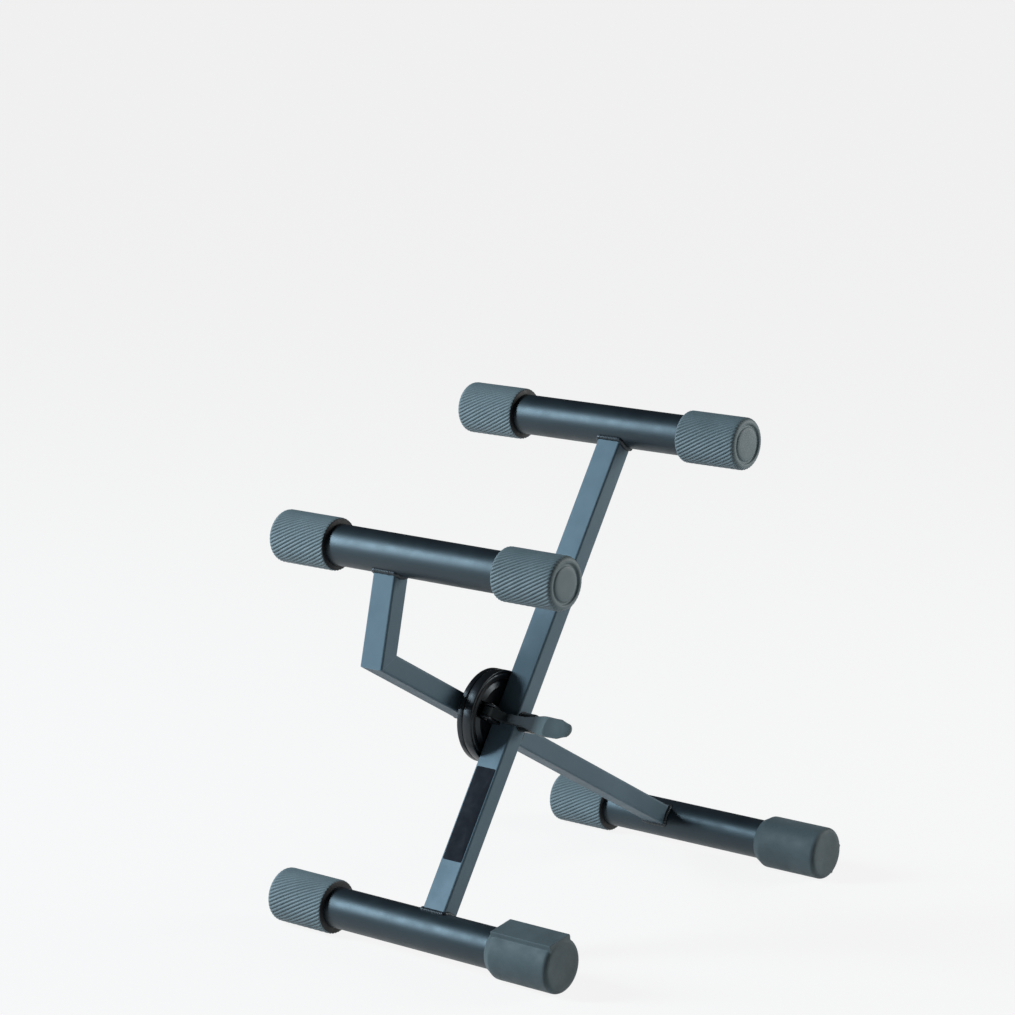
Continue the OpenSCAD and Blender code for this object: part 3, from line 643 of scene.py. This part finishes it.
rounded_copy("release_lever", "release_lever_casting", "release_lever", lever_paint,
             voxel=0.4 * MM, rounds=6)

# ------------------------------------------------------------------ lock spring


def sprung_copy(node, name, body, material):
    """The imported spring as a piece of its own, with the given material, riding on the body."""
    obj = copied(node, name)
    obj.data.materials.clear()
    obj.data.materials.append(material)
    hand_over(obj, body, node)
    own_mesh(obj)


sprung_copy("lock_spring", "lock_spring_coil", "straight_leg",
            spring_wire)

# ------------------------------------------------------------------ rippled welds

TUBE_CORNER = 2.2 * MM
BEAD_STEP = 0.35 * MM     # spacing of the bead's rings along its path
BEAD_R = 2.3              # in mm, as are the ripple's and the unevenness's heights
RIPPLE, UNEVEN = 0.42, 0.35
RIPPLE_PITCH = 1.84 * MM
BEAD_FLAT = 0.9           # height of the bead's section against its width
BEAD_SIDES = 14


def weld_bead(name, body, node, bar, along, leg_x, seed):
    """Bead round the foot of a leg, where its rounded section meets the bar. along points up
    the leg, away from the bar."""
    side = Vector((0, -along.z, along.y))
    half_w, half_t = tube_w / 2, TUBE_T / 2
    outline = rounded_rectangle(half_w, half_t, TUBE_CORNER, 8)
    centre = Vector((leg_x, bar[0], bar[1]))
    points, outward = [], []
    for (x0, z0), (x1, z1) in zip(outline, outline[1:] + outline[:1]):
        steps = max(1, int(math.hypot(x1 - x0, z1 - z0) / BEAD_STEP))
        for k in range(steps):
            x, z = x0 + (x1 - x0) * k / steps, z0 + (z1 - z0) * k / steps
            on_bar = math.sqrt(BAR_R ** 2 - z ** 2)
            points.append(centre + Vector((x, 0, 0)) + side * z + along * on_bar)
            inner_x = max(-half_w + TUBE_CORNER, min(half_w - TUBE_CORNER, x))
            inner_z = max(-half_t + TUBE_CORNER, min(half_t - TUBE_CORNER, z))
            flat = Vector((x - inner_x, 0, 0)) + side * (z - inner_z)
            outward.append(flat.normalized())

    run = 0.0
    rings = []
    count = len(points)
    for i in range(count):
        following = points[(i + 1) % count]
        out = outward[i]
        away = (following - points[i - 1]).normalized().cross(out).normalized()
        if away.dot(along) < 0:
            away = -away
        wave = abs(math.sin(math.pi * run / RIPPLE_PITCH))
        loose = noise.noise(Vector((run * 260, seed * 3.7, 0)))
        size = (BEAD_R + RIPPLE * wave + UNEVEN * loose) * MM
        turns = [2 * math.pi * k / BEAD_SIDES for k in range(BEAD_SIDES)]
        rings.append([points[i] + out * (size * math.cos(a))
                      + away * (size * BEAD_FLAT * math.sin(a)) for a in turns])
        run += (following - points[i]).length
    verts, faces = skin(rings, loop=True)
    first = rings[0]
    winding = (first[1] - first[0]).cross(first[4] - first[0])
    if winding.dot(points[1] - points[0]) > 0:
        faces = flipped(faces)
    piece(name, verts, faces, weld_paint, body, sharp=80, node=node)


# The upright's direction is the long tube's, turned at the mitred corner
CORNER_TURN = math.radians(73.5)
upright_up = Matrix.Rotation(-CORNER_TURN, 3, "X") @ Vector((0, leg_b_up.y, leg_b_up.z))
weld_bead("weld_front_base", "straight_leg", "leg_a_welds", front_base, leg_a_up, leg_a_x, 1)
weld_bead("weld_rear_top", "straight_leg", "leg_a_welds", rear_top, -leg_a_up, leg_a_x, 2)
weld_bead("weld_rear_base", "bent_leg", "leg_b_welds", rear_base, leg_b_up, leg_b_x, 3)
weld_bead("weld_front_top", "bent_leg", "leg_b_welds", front_top, -upright_up, leg_b_x, 4)

# ------------------------------------------------------------------ blank label

FILM_UNDER, FILM_EDGE, FILM_TOP = 0.02 * MM, 0.12 * MM, 0.16 * MM
FILM_TOP_SHARE = 0.985


def blank_label(start, end, width, corner):
    """Plain film with rounded corners on the straight leg's front face; start and end are
    measured up the leg from the front base bar's axis."""
    face = Vector((leg_a_x, front_base[0], front_base[1])) + leg_a_front * (TUBE_T / 2)
    mid = (start + end) / 2
    outline = rounded_rectangle(width / 2, (end - start) / 2, corner, 6)

    def centre(height):
        return [face + leg_a_up * mid + leg_a_front * height]

    def ring(share, height):
        return [face + Vector((x * share, 0, 0)) + leg_a_up * (mid + y * share)
                + leg_a_front * height for x, y in outline]

    verts, faces = skin([centre(FILM_UNDER), ring(1.0, FILM_UNDER), ring(1.0, FILM_EDGE),
                         ring(FILM_TOP_SHARE, FILM_TOP), centre(FILM_TOP)])
    piece("blank_label", verts, flipped(faces), label_film, "straight_leg",
          sharp=30)


blank_label(start=66 * MM, end=157.5 * MM, width=21.8 * MM, corner=1.5 * MM)

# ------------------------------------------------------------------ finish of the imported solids


def dress(names, material, edge=0.0):
    """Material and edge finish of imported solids. Their meshes and places stay as they are."""
    for name in names:
        obj = nodes[name]
        for slot in obj.material_slots:
            slot.link = "OBJECT"
            slot.material = material
        if edge:
            obj.modifiers.new("weld", "WELD").merge_threshold = WELD_MERGE
            bevel = obj.modifiers.new("edges", "BEVEL")
            bevel.width = edge
            bevel.segments = 2
            bevel.limit_method = "ANGLE"
            bevel.angle_limit = math.radians(40)
            bevel.harden_normals = True


dress(("front_base_bar", "rear_top_bar", "rear_base_bar", "front_top_bar"), bar_paint)
dress(("leg_a_tube", "leg_b_long_tube", "leg_b_upright_tube"), leg_paint)
dress(("leg_a_welds", "leg_b_welds"), weld_paint)
dress(("disc_housing",), disc_paint, edge=0.35 * MM)
dress(("toothed_disc",), disc_paint, edge=0.25 * MM)
dress(("lever_bracket",), bracket_paint, edge=0.4 * MM)
dress(("housing_rivets", "toothed_disc_rivets", "pivot_sleeve", "leg_a_spacer", "drive_pin"),
      zinc, edge=0.2 * MM)
dress(("pivot_washers", "pivot_nut", "pivot_bolt", "lever_pin"), black_steel, edge=0.2 * MM)
dress(("lock_plate",), sintered)
dress(("lock_spring",), spring_wire)
dress(("leg_b_bush",), nylon)
dress(("pivot_nut_cap",), gloss_cap)
dress(("front_base_left_grip", "rear_top_left_grip", "rear_top_right_grip",
       "rear_base_left_grip", "front_top_left_grip", "front_top_right_grip"), grip_rubber)
dress(("front_level_foot", "rear_level_foot"), foot_rubber)
dress(("release_lever",), lever_paint)
